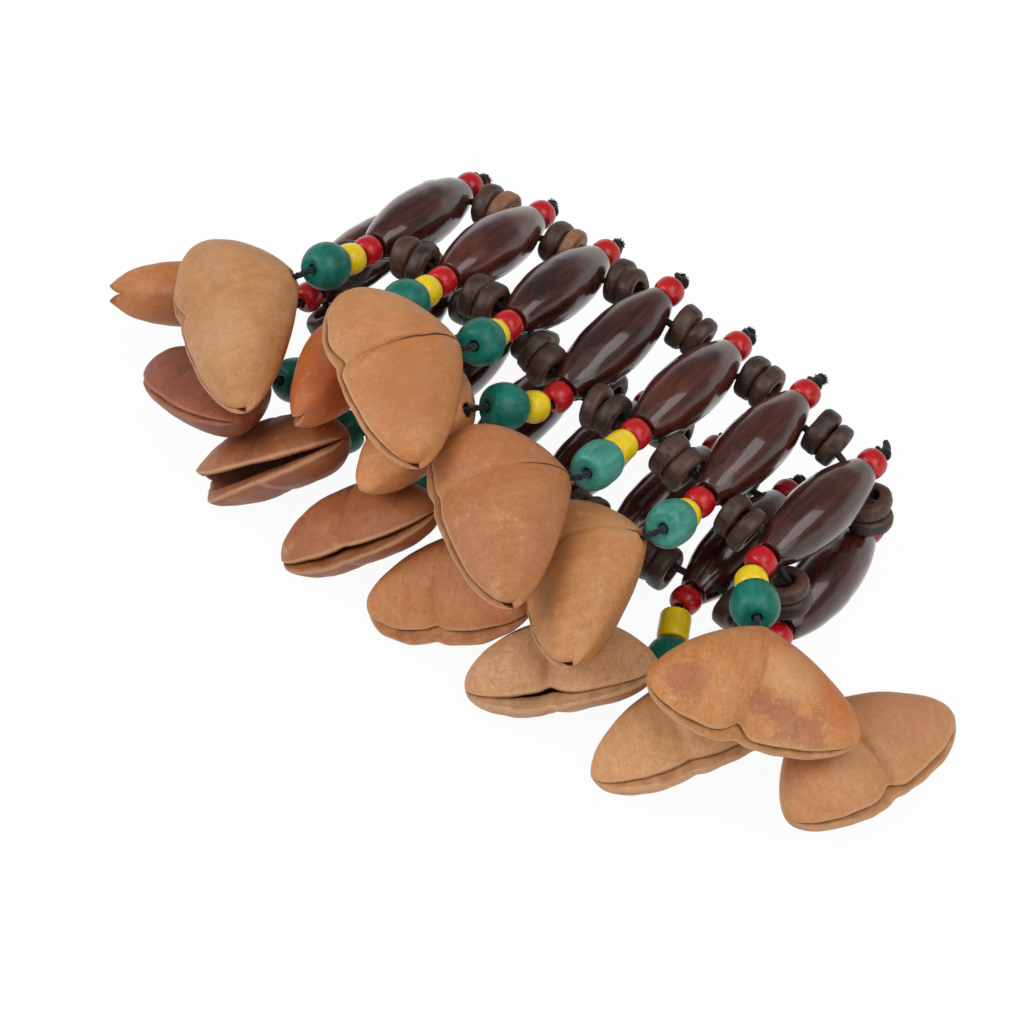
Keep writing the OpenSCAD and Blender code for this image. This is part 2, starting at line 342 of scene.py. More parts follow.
lookAt = Vector(cameraSet["target"]) * mm
camera = bpy.data.objects.new("camera", bpy.data.cameras.new("camera"))
camera.data.lens = cameraSet["lens"]
camera.data.sensor_width = cameraSet["sensor"]
camera.data.clip_start = cameraSet["clip"] * mm
bpy.context.scene.collection.objects.link(camera)
aimAt(camera, lookAt + viewSide(*cameraSet["side"]) * cameraSet["distance"] * mm, lookAt)
bpy.context.scene.camera = camera

lampSet = [
    {"name": "topSoftbox", "side": (20, 76), "distance": 0.75, "size": (0.9, 0.9), "watts": 1.0},
    {"name": "leftFill", "side": (-44, 40), "distance": 0.9, "size": (0.6, 0.5), "watts": 3.7},
    {"name": "rightSoftbox", "side": (104, 58), "distance": 0.75, "size": (0.62, 0.42), "watts": 2.1},
    {"name": "rightFill", "side": (72, 28), "distance": 0.75, "size": (0.5, 0.4), "watts": 1.0},
]
for lamp in lampSet:
    light = bpy.data.lights.new(lamp["name"], "AREA")
    light.shape = "RECTANGLE"
    light.size, light.size_y = lamp["size"]
    light.energy = lamp["watts"]
    holder = bpy.data.objects.new(lamp["name"], light)
    bpy.context.scene.collection.objects.link(holder)
    aimAt(holder, lookAt + viewSide(*lamp["side"]) * lamp["distance"], lookAt)

worldSet = {"light": 0.26, "seen": 1.0, "horizon": (0.1, 0.4)}
floorSet = {"half": 3.0, "drop": 0.05, "colour": (0.86, 0.86, 0.86), "glow": 0.95}


def lookedAt(wire):  # 1 for rays from the camera, and from gloss and glass
    paths = wire.node("ShaderNodeLightPath").socket.node
    seen, glossy, through = (Wire(wire.tree, paths.outputs[f"Is {kind} Ray"])
                             for kind in ("Camera", "Glossy", "Transmission"))
    return wire.math("ADD", wire.math("ADD", seen, glossy, clamp=True), through, clamp=True)


def makeWorld():  # a white backdrop at the horizon under a dimmer ceiling
    world = bpy.data.worlds.new("paleRoom")
    world.use_nodes = True
    wire = Wire(world.node_tree)
    height = wire.node("ShaderNodeTexCoord").split()[2]
    backdrop = lookedAt(wire) * (1 - height.ramp(*worldSet["horizon"]))
    strength = backdrop * (worldSet["seen"] - worldSet["light"]) + worldSet["light"]
    background = world.node_tree.nodes["Background"]
    background.inputs["Color"].default_value = (1.0, 1.0, 1.0, 1.0)
    world.node_tree.links.new(strength.socket, background.inputs["Strength"])
    bpy.context.scene.world = world


def makeFloor():
    material = bpy.data.materials.new("paleFloor")
    material.use_nodes = True
    tree = material.node_tree
    wire = Wire(tree)
    matt = wire.node("ShaderNodeBsdfDiffuse", None, {"Color": (*floorSet["colour"], 1.0)})
    glow = wire.node("ShaderNodeEmission", None, {"Color": (1.0, 1.0, 1.0, 1.0), "Strength": 1.0})
    share = lookedAt(wire) * floorSet["glow"]
    mixed = wire.node("ShaderNodeMixShader", None, {0: share, 1: matt, 2: glow})
    tree.links.new(mixed.socket, tree.nodes["Material Output"].inputs["Surface"])
    bm = bmesh.new()
    bmesh.ops.create_grid(bm, x_segments=1, y_segments=1, size=floorSet["half"])
    bmesh.ops.translate(bm, verts=bm.verts, vec=(0, 0, cadBox[0][2] - floorSet["drop"] * mm))
    mesh = bpy.data.meshes.new("floor")
    bm.to_mesh(mesh)
    bm.free()
    mesh.materials.append(material)
    floor = bpy.data.objects.new("floor", mesh)
    bpy.context.scene.collection.objects.link(floor)


makeWorld()
makeFloor()
bpy.context.scene.view_settings.view_transform = "Standard"
print("camera, floor and light set")


# nutshells

shellSet = {
    "columns": 96, "rows": 120, "fineMiddle": 0.72, "wall": 1.25, "tipPlace": 0.64,
    "slim": (1.25, 0.72), "plump": (1.55, 0.63), "mouth": (2.4, 0.53), "hole": 1.7,
    "shelf": (0.70, 0.84), "endSet": 0.35, "lipSet": 0.55, "nicks": ((1.5, 1.0), (4.5, 0.45)),
    "nickShare": (0.8, 0.45), "stepShare": (0.75, -0.25), "stagger": (0.5, 6), "creaseWide": 0.7,
    "ledge": (0.35, 8), "crack": (0.5, 0.22), "ripple": 260, "uneven": ((55, 0.8), (150, 0.35), (420, 0.12)),
}
plainShell = {
    "gap": 0.25, "gapAt": 0.0, "gapWide": 1.2, "lean": 0.0, "beak": 0.0, "step": 1.2, "notch": 1.0,
    "plump": 0.5, "skew": 0.05, "tip": 0.0, "wave": 0.5, "crease": 0.2, "ledge": 0.0, "drift": 0.0,
    "crack": 0.0, "seam": 0.3, "stained": 0.2, "speckle": 0.5, "veins": 0.0, "marks": (),
    "tone": (0.53, 0.27, 0.12), "warm": (0.46, 0.19, 0.07), "stain": (0.34, 0.125, 0.05),
    "pale": (0.60, 0.36, 0.19),
}
orange, plum, cream = (0.50, 0.125, 0.025), (0.30, 0.085, 0.042), (0.58, 0.34, 0.17)
shellLooks = [
    {"step": 1.2, "notch": 0.9, "crease": 0.08, "seam": 0.1, "plump": 0.85, "skew": 0.25, "tip": 0.045,
     "tone": (0.52, 0.265, 0.12), "warm": (0.48, 0.225, 0.085), "stained": 0.1,
     "marks": ((9, 10, 7, (0.52, 0.31, 0.18), 0.6), (-9, 16, 8, (0.58, 0.33, 0.17), 0.6))},
    {"gap": 0.6, "step": 1.8, "ledge": 0.9, "crease": 0.3, "tone": (0.52, 0.155, 0.038),
     "warm": (0.46, 0.11, 0.024), "stained": 0.25, "pale": (0.56, 0.30, 0.14)},
    {"gap": 0.1, "step": 0.7, "crack": 0.9, "crease": 0.12, "plump": 0.85, "skew": 0.2, "tip": 0.045,
     "tone": (0.53, 0.25, 0.105), "warm": (0.49, 0.19, 0.06), "stained": 0.1, "notch": 1.2,
     "marks": ((0.5, 24, 3.5, (0.50, 0.29, 0.12), 0.7), (-10, 16, 9, (0.44, 0.155, 0.05), 0.9),
               (10, 14, 8, (0.56, 0.29, 0.14), 0.6))},
    {"gap": 1.0, "gapAt": 0.15, "gapWide": 0.16, "step": 1.4, "tone": (0.64, 0.28, 0.11),
     "warm": (0.59, 0.235, 0.088)},
    {"gap": 0.1, "step": 0.9, "crack": 0.4, "crease": 0.15, "seam": 0.15, "skew": 0.3, "tip": 0.045,
     "tone": (0.46, 0.195, 0.078), "warm": (0.42, 0.155, 0.055), "stained": 0.1, "notch": 0.6},
    {"gap": 0.1, "step": 1.2, "crack": 0.1, "crease": 0.25, "notch": 0.8, "skew": 0.25, "tip": 0.045,
     "tone": (0.54, 0.27, 0.11), "warm": (0.51, 0.225, 0.08), "stained": 0.1, "veins": 0.3,
     "marks": ((0, 3, 4, (0.50, 0.29, 0.15), 0.6),)},
    {"gap": 0.1, "step": 1.1, "ledge": 0.85, "crease": 0.3, "seam": 0.5, "notch": 2.0, "drift": -1.2,
     "skew": 0.1, "tone": (0.54, 0.265, 0.105), "warm": (0.52, 0.215, 0.07), "stain": (0.37, 0.12, 0.045),
     "stained": 0.3, "speckle": 0.9,
     "marks": ((-5, 5, 6, orange, 0.8), (-11, 9, 5.5, orange, 0.7), (-17, 14, 5.5, orange, 0.85),
               (15, 13, 5, orange, 0.5), (-6, 13, 6, cream, 0.7), (-8, 24, 4.5, cream, 0.6),
               (-2.5, 19.5, 3.4, plum, 0.8), (-7, 20.5, 3.2, plum, 0.75), (-11.5, 20.5, 3, plum, 0.7),
               (11, 19, 4, plum, 0.7))},
    {"gap": 0.1, "step": 1.2, "ledge": 0.5, "crease": 0.25, "seam": 0.45, "tone": (0.56, 0.28, 0.125),
     "warm": (0.52, 0.235, 0.10), "stained": 0.15,
     "marks": ((-11, 15, 9, (0.47, 0.19, 0.10), 0.7), (5, 16, 7, (0.54, 0.29, 0.13), 0.5))},
    {"gap": 0.1, "step": 2.2, "ledge": 0.3, "crease": 0.2, "tone": (0.66, 0.37, 0.18),
     "warm": (0.62, 0.31, 0.14), "stained": 0.12},
    {"gap": 1.5, "gapAt": 0.12, "gapWide": 0.34, "step": 2.6, "ledge": 0.25, "crease": 0.2,
     "tone": (0.61, 0.35, 0.18), "warm": (0.56, 0.285, 0.14), "stained": 0.2, "speckle": 0.9,
     "veins": 0.8, "notch": 1.4},
    {"gap": 0.15, "step": 2.4, "crease": 0.3, "notch": 1.0, "tone": (0.53, 0.24, 0.095),
     "warm": (0.48, 0.165, 0.053), "stained": 0.35, "marks": ((-13, 17, 7, (0.42, 0.13, 0.04), 0.7),)},
    {"gap": 1.3, "gapWide": 0.8, "step": 1.7, "crease": 0.3, "tone": (0.41, 0.15, 0.055),
     "warm": (0.35, 0.11, 0.037), "stained": 0.3, "veins": 0.2},
    {"gap": 5.6, "lean": 0.8, "beak": 0.10, "step": 0.4, "notch": 0.8, "crease": 0.2, "wave": 0.9,
     "tone": (0.44, 0.165, 0.066), "warm": (0.32, 0.10, 0.037), "stained": 0.45, "veins": 0.5,
     "marks": ((16, 18, 7, (0.47, 0.23, 0.11), 0.7), (-13, 15, 6, (0.40, 0.145, 0.055), 0.5))},
    {"gap": 0.02, "step": 0.1, "notch": 0.2, "wave": 0.2, "crease": 0.1,
     "tone": (0.32, 0.092, 0.038), "warm": (0.24, 0.060, 0.025),
     "stain": (0.18, 0.056, 0.03), "stained": 0.9, "veins": 0.5, "pale": (0.40, 0.16, 0.075),
     "marks": ((8, 12, 8, (0.21, 0.07, 0.042), 0.7),)},
    {"gap": 3.2, "lean": -0.9, "beak": 0.13, "step": 0.3, "crease": 0.2, "tone": (0.54, 0.22, 0.078),
     "warm": (0.49, 0.175, 0.056), "veins": 0.3},
]


def leaning(s, look):  # how far a place lies towards the tip where the nut gapes
    return s if look["lean"] > 0 else -s


def bell(x, wide):  # 1 in the middle, falling off over a width in millimetres
    return math.exp(-(x / (wide * mm)) ** 2)


def shellEdges(s, seamX, upper, look, length):  # the cord side and the mouth, along Y
    edge, side = min(1.0, abs(s)), 0 if upper else 1
    share = look["plump"] if s < 0 else 0.0
    power, root = (a + (b - a) * share for a, b in zip(shellSet["slim"], shellSet["plump"]))
    tip = shellSet["tipPlace"] * length
    back = tip * (1 - (1 - edge ** power) ** root)
    power, root = shellSet["mouth"]
    mouth = tip + (length - tip) * (1 - edge ** power) ** root
    nick = sum(share * bell(seamX, wide) for wide, share in shellSet["nicks"])
    mouth -= look["notch"] * mm * nick * shellSet["nickShare"][side]
    if upper:
        sharp, wide = shellSet["stagger"]
        mouth -= look["ledge"] * mm / 2 * (math.tanh(seamX / (sharp * mm)) * bell(seamX, wide))
    mouth -= look["step"] * mm * shellSet["stepShare"][side] * (1 - edge ** 3)
    ripple = noise.noise((seamX * shellSet["ripple"], length * 9000, 3.0 if upper else 7.0))
    return back, mouth + look["wave"] * mm * ripple * (1 - edge ** 3)


def mouthGap(s, look):  # half the opening between the lips
    edge, lean = min(1.0, abs(s)), abs(look["lean"])
    spread = math.exp(-((s - look["gapAt"]) / look["gapWide"]) ** 2) * (1 - edge ** 4) ** 0.5
    sided = max(0.0, (1 + leaning(s, look)) / 2) ** 1.3
    return look["gap"] * mm / 2 * ((1 - lean) * spread + lean * sided)


def grooves(seamX, y, upper, look, length):  # how far the skin sinks along the seam
    depth = look["crease"] * bell(seamX, shellSet["creaseWide"])
    sharp, wide = shellSet["ledge"]
    depth += look["ledge"] / 2 * math.tanh(seamX / (sharp * mm)) * bell(seamX, wide)
    if upper and look["crack"]:
        deep, wide = shellSet["crack"]
        fade = max(0.0, 1 - y / (look["crack"] * length))
        depth += deep * min(1.0, 3 * fade) * bell(seamX, wide)
    return depth * mm


def shellPoint(a, b, look, size, inner):  # X across, Y from the cord hole to the mouth, Z through the nut
    width, length, thickness = size
    s = math.sin(math.pi / 2 * (a - shellSet["fineMiddle"] * math.sin(2 * math.pi * a) / (2 * math.pi)))
    edge = min(1.0, abs(s))
    upper = b > 0
    v = (1 - math.cos(math.pi * abs(b))) / 2
    seamX = width / 2 * s
    x = width / 2 * (s - look["skew"] * s * s)
    x += look["drift"] * mm * math.sin(math.pi * v) * (1 - edge) ** 2
    x *= 1 - look["beak"] * (1 - v) * max(0.0, leaning(s, look)) ** 6
    if upper:  # the lower half stands out past the upper one at the plump tip
        x *= 1 - look["tip"] * max(0.0, -s) ** 6 * min(1.0, 4 * b)
    back, mouth = shellEdges(s, seamX, upper, look, length)
    half = thickness / 2 * (1 - edge ** 2.4) ** 0.6
    half *= 1 - 0.05 * math.exp(-(seamX / (0.09 * width)) ** 2)
    gap = mouthGap(s, look)
    swell = max(0.0, math.sin(math.pi * v ** 0.8)) ** 0.72
    thin = min(shellSet["wall"] * mm, 0.45 * half)
    if inner:
        low, high = shellSet["shelf"]
        t = min(1.0, max(0.0, (v - low) / (high - low)))
        ends = min(shellSet["wall"] * mm, 0.25 * (mouth - back))
        x *= 1 - 0.035 * (1 - edge ** 6)
        y = back + ends + (mouth - back - ends - min(shellSet["endSet"] * mm, ends)) * v
        z = gap * v * v + (half - thin) * swell * (1 - t * t * (3 - 2 * t))
    else:
        y = back + (mouth - back) * v
        z = (gap + shellSet["lipSet"] * thin) * v * v
        z += (half - grooves(seamX, y, upper, look, length)) * swell
    return Vector((x, y, z if upper else -z)), seamX


def unevenness(point, seed):
    wave = sum(noise.noise(point * scale + seed) * height for scale, height in shellSet["uneven"])
    rise = min(1.0, abs(point.z) / (3 * mm))
    return Vector((0.2, 0.2, math.copysign(rise, point.z))) * wave * mm


def shellSheet(bm, layers, look, size, seed):  # one closed sheet, out to the lips and back inside
    inside, lip, offSeam = layers
    columns, rows = shellSet["columns"], shellSet["rows"]
    around = 2 * rows + 2
    sheet = bmesh.ops.create_grid(bm, x_segments=columns, y_segments=around, size=1.0)
    faces = {}
    for face in bm.faces:
        middle = face.calc_center_median()
        faces[int((middle.x + 1) / 2 * columns), int((middle.y + 1) / 2 * around)] = face
    for corner in sheet["verts"]:
        a, row = corner.co.x, round((corner.co.y + 1) / 2 * around)
        inner = rows < row < around
        b = 1 - 2 * (row - rows - 1) / rows if inner else 2 * (row % around) / rows - 1
        corner[lip] = (1 - math.cos(math.pi * abs(b))) / 2
        corner[inside] = 1.0 if inner else 0.0
        corner.co, corner[offSeam] = shellPoint(a, b, look, size, inner)
        if not inner:
            corner.co += unevenness(corner.co, seed) * (1 - abs(a) ** 12)
    return faces


def drillHole(bm, faces):  # the cord hole, through both skins at the apex
    rows, hole = shellSet["rows"], shellSet["hole"] * mm
    cut = []
    for (column, row), face in faces.items():
        middle = face.calc_center_median()
        if row < rows and math.hypot(middle.x, middle.z) < hole and middle.y < 2.5 * hole:
            cut += [face, faces[column, 2 * rows - row]]
    bmesh.ops.delete(bm, geom=cut, context="FACES")
    bmesh.ops.remove_doubles(bm, verts=bm.verts, dist=0.004 * mm)
    reach = 2 * hole
    rims = [edge for edge in bm.edges if edge.is_boundary
            and edge.verts[0].co.y < reach and abs(edge.verts[0].co.x) < reach]
    bmesh.ops.bridge_loops(bm, edges=rims)


def makeShell(strand, look, finish):
    size = tuple(float(part) for part in strand["shellSize"])
    bm, place, *layers = startMesh("inside", "lip", "offSeam")
    seed = Vector((strand["number"] * 3.7, strand["number"] * 1.9, strand["number"] * 8.3))
    drillHole(bm, shellSheet(bm, layers, look, size, seed))
    bmesh.ops.recalc_face_normals(bm, faces=bm.faces)
    for corner in bm.verts:
        corner[place] = corner.co
    turn = Matrix((strand["across"], strand["toMouth"], strand["up"])).transposed().to_4x4()
    bmesh.ops.transform(bm, matrix=Matrix.Translation(strand["apex"]) @ turn, verts=bm.verts)
    tag = strand["tag"]
    finishPiece(f"nutshell{tag}", bm, finish, f"shell_{tag}", "nutshell", f"nutshell_{tag}")


def shellFinish(strand, look):
    material, wire, shader = newFinish(f"nutshell{strand['tag']}")
    seed = strand["number"] * 2.37
    place = attribute(wire, "place")
    inside, lip, offSeam = (attribute(wire, layer, 2) for layer in ("inside", "lip", "offSeam"))
    x, y, z = place.split()
    upper = z.ramp(-0.5 * mm, 1.0 * mm)
    cloud = place.noise(85, 3, seed)
    mottle = place.noise(300, 4, seed + 1, 0.62)
    grain = place.noise(1300, 3, seed + 2, 0.65)
    pores = place.noise(3000, 2, seed + 3)
    patches = place.noise(120, 4, seed + 4, 0.62)
    streaks = place.stretched((1.0, 0.22, 1.0)).noise(700, 4, seed + 7, 0.65)
    blotches = place.noise(200, 5, seed + 8, 0.7)
    skin = (cloud * 0.65 + mottle * 0.35).ramp(0.36, 0.60).blend(look["tone"], look["warm"])
    skin = (blotches.ramp(0.53, 0.70) * (0.25 + look["stained"] * 0.6)).blend(skin, look["stain"])
    skin = ((1 - blotches.ramp(0.30, 0.45)) * 0.55).blend(skin, look["pale"])
    skin = streaks.ramp(0.3, 0.7).blend((0.91, 0.89, 0.87), (1.08, 1.09, 1.10)).times(skin)
    skin = mottle.ramp(0.3, 0.7).blend((0.94, 0.92, 0.90), (1.05, 1.06, 1.08)).times(skin)
    skin = grain.ramp(0.3, 0.7).blend((0.93, 0.92, 0.90), (1.06, 1.07, 1.08)).times(skin)
    depth = 0.16 * look["stained"]
    stains = patches.ramp(0.66 - depth, 0.84 - depth) * min(1.0, 0.3 + look["stained"])
    skin = stains.blend(skin, look["stain"])
    ragged = (patches - 0.5) * (8 * mm) + (mottle - 0.5) * (9 * mm) + (grain - 0.5) * (4 * mm)
    for markX, markY, radius, colour, strength in look["marks"]:
        far = wire.math("SQRT", (x - markX * mm).squared() + (y - markY * mm).squared()) + ragged
        mark = (1 - far.ramp(0.4 * radius * mm, 1.15 * radius * mm)) * upper * (mottle * 1.4 * strength)
        skin = mark.blend(skin, colour)
    vein = (place.noise(170, 3, seed + 6, 0.6) - 0.5).size()
    veins = (1 - vein.ramp(0.004, 0.022)) * mottle.ramp(0.45, 0.6) * look["veins"] * 0.5
    skin = veins.blend(skin, tuple(0.62 * part for part in look["warm"]))
    specks = pores.ramp(0.61, 0.70) * (0.2 + look["speckle"] * 0.8)
    skin = specks.blend(skin, tuple(0.45 * part for part in look["tone"]))
    wander = (place.stretched((0.0, 1.0, 0.0)).noise(170, 2, seed + 5) - 0.5) * (1.6 * mm)
    offLine = (offSeam + wander).size()
    seam = (1 - offLine.ramp(0.15 * mm, 1.0 * mm)) * look["seam"] * 0.55
    skin = seam.blend(skin, tuple(0.6 * part for part in look["warm"]))
    length = float(strand["shellSize"][1])
    reach = max(look["crack"] * length, 0.1 * mm)
    width = (1 - y.ramp(0.3 * reach, reach)) * (0.30 * mm) + 0.03 * mm
    crack = (1 - (offSeam + wander * 0.35).size().ramp(0.0, width)) * upper * (1 - y.ramp(0.9 * reach, reach))
    crack = crack.ramp(0.25, 0.6) * (1.0 if look["crack"] else 0.0)
    # painted shade: the lower valve is coloured darker and browner than the upper one, as shade under the
    # upper lip; the upper valve gets only a slight warm tint
    skin = upper.blend((0.87, 0.79, 0.70), (1.02, 0.98, 0.90)).times(skin)
    # painted highlight: a thin pale line along the outer edge of the lips
    rim = lip.ramp(0.98, 1.0) * (1 - inside)
    skin = (rim * 0.6).blend(skin, look["pale"])
    skin = crack.blend(skin, (0.05, 0.018, 0.009))
    core = mottle.ramp(0.3, 0.7).blend((0.28, 0.09, 0.05), (0.42, 0.16, 0.085))
    shelf = mottle.ramp(0.3, 0.7).blend(look["tone"], tuple(0.7 * part for part in look["warm"]))
    hollow = lip.ramp(0.70, 0.80).blend(core, shelf)
    skin = inside.ramp(0.4, 0.6).blend(skin, hollow)
    height = cloud * 0.4 + mottle * 0.6 + streaks * 0.3 + grain * 0.34 + pores * 0.14
    height = height - crack * 1.6 - seam * 0.4 - veins * 0.8 - specks * 0.4
    plug(shader, Base_Color=skin, Roughness=0.42 + mottle * 0.24, Normal=height.bump(0.55, 0.42 * mm))
    plug(shader, Specular_IOR_Level=0.45)
    return material


def makeShells():
    for strand, changes in zip(strands, shellLooks):
        look = {**plainShell, **changes}
        makeShell(strand, look, shellFinish(strand, look))


makeShells()
print("nutshells made")


# long wooden beads

longSet = {
    "half": 15.0, "side": 6.2, "end": 2.95, "bore": 1.5, "curve": (2.0, 1.12), "points": 22, "steps": 64,
    "rough": (0.16, 0.03),
}


def longFinish():
    material, wire, shader = newFinish("darkLacqueredWood")
    place = attribute(wire, "place")
    lot = attribute(wire, "lot", 2)
    seed = lot * 9.0
    grain = place.stretched((1.0, 0.07, 1.0)).noise(900, 4, seed, 0.6)
    streak = place.stretched((1.0, 0.045, 1.0)).noise(2600, 3, seed + 4.0, 0.6)
    cloud = place.stretched((1.0, 0.5, 1.0)).noise(140, 3, seed + 7.0)
    figure = grain * 0.6 + cloud * 0.4 + (lot - 0.5) * 0.12
    wood = figure.ramp(0.34, 0.7).blend((0.017, 0.0035, 0.003), (0.110, 0.022, 0.011))
    wood = streak.ramp(0.55, 0.75).blend(wood, (0.010, 0.004, 0.0035))
    wear = place.noise(700, 3, seed + 11.0).ramp(0.68, 0.8) * 0.35
    wood = wear.blend(wood, (0.12, 0.045, 0.03))
    plug(shader, Base_Color=wood, Roughness=0.2 + streak * 0.16,
         Normal=(grain * 0.6 + streak * 0.35 + cloud * 0.8).bump(0.36, 0.2 * mm))
    plug(shader, Coat_Weight=0.8, Coat_Roughness=0.09, Specular_IOR_Level=0.28)
    return material


def makeLongBeads():
    finish = longFinish()
    for strand in strands:
        bm, place, lot = startMesh("lot")
        corners = spinOutline(bm, beadOutline(longSet), longSet["steps"])
        roughen(corners, strand["number"], longSet["rough"])
        share = random.Random(strand["number"]).random()
        for corner in corners:
            corner[place] = corner.co
            corner[lot] = share
        bmesh.ops.transform(bm, matrix=standing(strand["middle"], strand["axis"]), verts=bm.verts)
        tag = strand["tag"]
        finishPiece(f"longBead{tag}", bm, finish, "band", "dark_wood", f"long_bead_{tag}")


makeLongBeads()
print("long beads made")


# small beads

smallSet = {"bore": 1.05, "points": 13, "steps": 40, "rough": (0.12, 0.02)}
redSet = {**smallSet, "half": 2.3, "side": 3.05, "end": 1.75, "curve": (2.3, 1.9)}
yellowSet = {**smallSet, "half": 2.4, "side": 3.2, "end": 1.85, "curve": (2.4, 2.0)}
greenSet = {**smallSet, "half": 4.3, "side": 4.7, "end": 2.1, "curve": (2.05, 1.75), "steps": 52}
yellowLengths = [4.8, 5.0, 4.4, 4.8, 6.0, 3.4, 4.8, 5.0, 6.0, 4.8, 5.0, 4.6, 5.0, 4.8, 5.0]
straightYellows, straightYellow = (5, 9), {"side": 3.1, "end": 2.5, "curve": (6.0, 2.6)}
paleGreens, paleGreen = (5, 6), {"side": 4.35, "end": 2.8, "curve": (2.8, 2.0)}


def glossFinish(name, colour, deep):
    material, wire, shader = newFinish(name)
    place = attribute(wire, "place")
    lot = attribute(wire, "lot", 2)
    cloud = place.noise(420, 3, lot * 8.0)
    smear = place.stretched((1.0, 0.3, 1.0)).noise(1500, 3, lot * 5.0, 0.6)
    glass = (cloud * 0.6 + smear * 0.4).ramp(0.35, 0.68).blend(colour, deep)
    plug(shader, Base_Color=glass, Roughness=0.2 + smear * 0.18, Normal=cloud.bump(0.15, 0.15 * mm))
    plug(shader, Coat_Weight=0.18, Coat_Roughness=0.1, Specular_IOR_Level=0.36)
    return material


def greenFinish():
    material, wire, shader = newFinish("stainedGreenWood")
    place = attribute(wire, "place")
    lot = attribute(wire, "lot", 2)
    worn = attribute(wire, "worn", 2)
    seed = lot * 9.0
    grain = place.stretched((1.0, 0.09, 1.0)).noise(1200, 4, seed, 0.65)
    cloud = place.noise(230, 3, seed + 3.0)
    figure = grain * 0.55 + cloud * 0.45
    stain = figure.ramp(0.33, 0.68).blend((0.002, 0.095, 0.068), (0.006, 0.205, 0.152))
    faded = figure.ramp(0.33, 0.68).blend((0.018, 0.19, 0.145), (0.085, 0.345, 0.275))
    wood = worn.blend(stain, faded)
    nicks = place.noise(900, 3, seed + 6.0).ramp(0.68, 0.78) * 0.4
    wood = nicks.blend(wood, (0.004, 0.03, 0.026))
    plug(shader, Base_Color=wood, Roughness=0.36 + grain * 0.2,
         Normal=(grain + cloud * 0.6).bump(0.3, 0.2 * mm))
    plug(shader, Coat_Weight=0.15, Coat_Roughness=0.2, Specular_IOR_Level=0.3)
    return material


def makeBeadGroup(name, finish, slotName, node, shapeOf, spot, along, wornOnes=()):
    bm, place, lot, worn = startMesh("lot", "worn")
    for strand in strands:
        shape = shapeOf(strand)
        corners = spinOutline(bm, beadOutline(shape), shape["steps"])
        roughen(corners, strand["number"] + len(name), shape["rough"])
        share = random.Random(strand["number"] * 31 + len(name)).random()
        for corner in corners:
            corner[place] = corner.co
            corner[lot] = share
            corner[worn] = 1.0 if strand["number"] in wornOnes else 0.0
        bmesh.ops.transform(bm, matrix=standing(strand[spot], strand[along]), verts=corners)
    finishPiece(name, bm, finish, "band", slotName, node)


def redShape(strand):
    return redSet


def yellowShape(strand):
    shape = dict(yellowSet, half=yellowLengths[strand["number"] - 1] / 2)
    if strand["number"] in straightYellows:
        shape.update(straightYellow)
    return shape


def greenShape(strand):
    return {**greenSet, **paleGreen} if strand["number"] in paleGreens else greenSet


def makeSmallBeads():
    red = glossFinish("redGlass", (0.53, 0.008, 0.011), (0.42, 0.006, 0.009))
    yellow = glossFinish("yellowGlass", (0.92, 0.67, 0.01), (0.80, 0.55, 0.008))
    green = greenFinish()
    makeBeadGroup("redBeadsKnotEnd", red, "red_bead", "red_beads_knot_end", redShape, "knotRed", "axis")
    makeBeadGroup("redBeadsShellEnd", red, "red_bead", "red_beads_shell_end", redShape, "shellRed", "axis")
    makeBeadGroup("yellowBeads", yellow, "yellow_bead", "yellow_beads", yellowShape, "yellow", "string")
    makeBeadGroup("greenBeads", green, "green_wood", "green_beads", greenShape, "green", "string", paleGreens)


makeSmallBeads()
print("small beads made")


# coconut discs

discSet = {
    "outer": 4.65, "bore": 2.2, "half": 1.85, "round": 1.2, "apart": 0.25, "tilt": 7, "steps": 44,
    "swell": (0.93, 1.05), "thick": (0.82, 1.06), "rough": (0.4, 0.06),
}


def discOutline():
    outer, bore, half, soft = (discSet[key] * mm for key in ("outer", "bore", "half", "round"))
    quarter = [math.radians(angle) for angle in (0, 30, 60, 90)]
    rim = [(outer - soft + soft * math.sin(t), half - soft + soft * math.cos(t)) for t in quarter]
    rim += [(radius, -height) for radius, height in reversed(rim)]
    small = soft * 0.5
    inside = [(bore + small - small * math.sin(t), -half + small - small * math.cos(t)) for t in quarter]
    inside += [(radius, -height) for radius, height in reversed(inside)]
    return rim + inside


def coconutFinish():
    material, wire, shader = newFinish("coconutShell")
    place = attribute(wire, "place")
    lot = attribute(wire, "lot", 2)
    pale = attribute(wire, "worn", 2)
    seed = lot * 11.0
    along = place.split()[1]
    streak = place.stretched((1.0, 0.12, 1.0)).noise(1500, 4, seed, 0.65)
    cloud = place.noise(260, 3, seed + 2.0)
    figure = streak * 0.6 + cloud * 0.4 + (lot - 0.5) * 0.14
    husk = figure.ramp(0.34, 0.68).blend((0.020, 0.0095, 0.0075), (0.088, 0.040, 0.026))
    light = figure.ramp(0.3, 0.7).blend((0.20, 0.080, 0.034), (0.38, 0.175, 0.085))
    husk = pale.blend(husk, light)
    scuffs = place.noise(900, 4, seed + 8.0, 0.7).ramp(0.56, 0.74) * 0.45
    husk = scuffs.blend(husk, (0.12, 0.066, 0.045))
    face = along.size().ramp(1.05 * mm, 1.6 * mm)
    worn = place.noise(600, 3, seed + 5.0).ramp(0.42, 0.64)
    husk = (face * (0.2 + worn * 0.6)).blend(husk, (0.115, 0.052, 0.030))
    plug(shader, Base_Color=husk, Roughness=0.34 + streak * 0.2,
         Normal=(streak + cloud * 0.5 + scuffs).bump(0.4, 0.25 * mm))
    plug(shader, Specular_IOR_Level=0.45)
    return material


